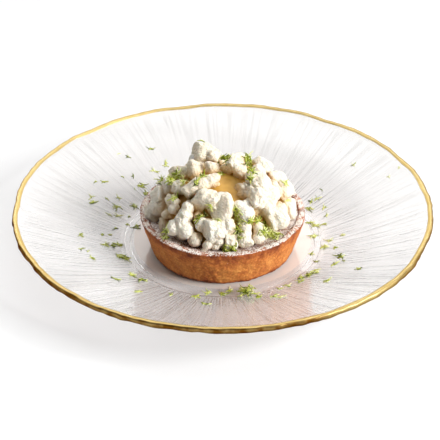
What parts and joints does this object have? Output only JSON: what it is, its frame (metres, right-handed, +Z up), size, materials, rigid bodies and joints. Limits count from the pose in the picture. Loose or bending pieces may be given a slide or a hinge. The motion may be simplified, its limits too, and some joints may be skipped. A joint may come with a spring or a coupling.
{
  "type": "bourdaloue tart",
  "caption": "Round shortcrust tart with almond filling, heaped with broken meringue and lime zest, served on a ribbed clear glass plate with a gilt rim.",
  "frame": {"origin": "middle of the plate's foot ring, on the table", "axes": "+Z up, -Y towards the front, where the picture is taken from, +X to the right"},
  "size_m": [0.2098, 0.2103, 0.0545],
  "materials": {
    "glass": "polished",
    "gilding": "satin",
    "shortcrust": "matte",
    "almond_filling": "matte",
    "meringue": "matte",
    "cream": "satin",
    "lime_zest": "satin"
  },
  "bodies": {
    "root": {"plate": "glass", "crust": "shortcrust", "filling": "almond_filling", "heap": "meringue"}
  },
  "joints": []
}
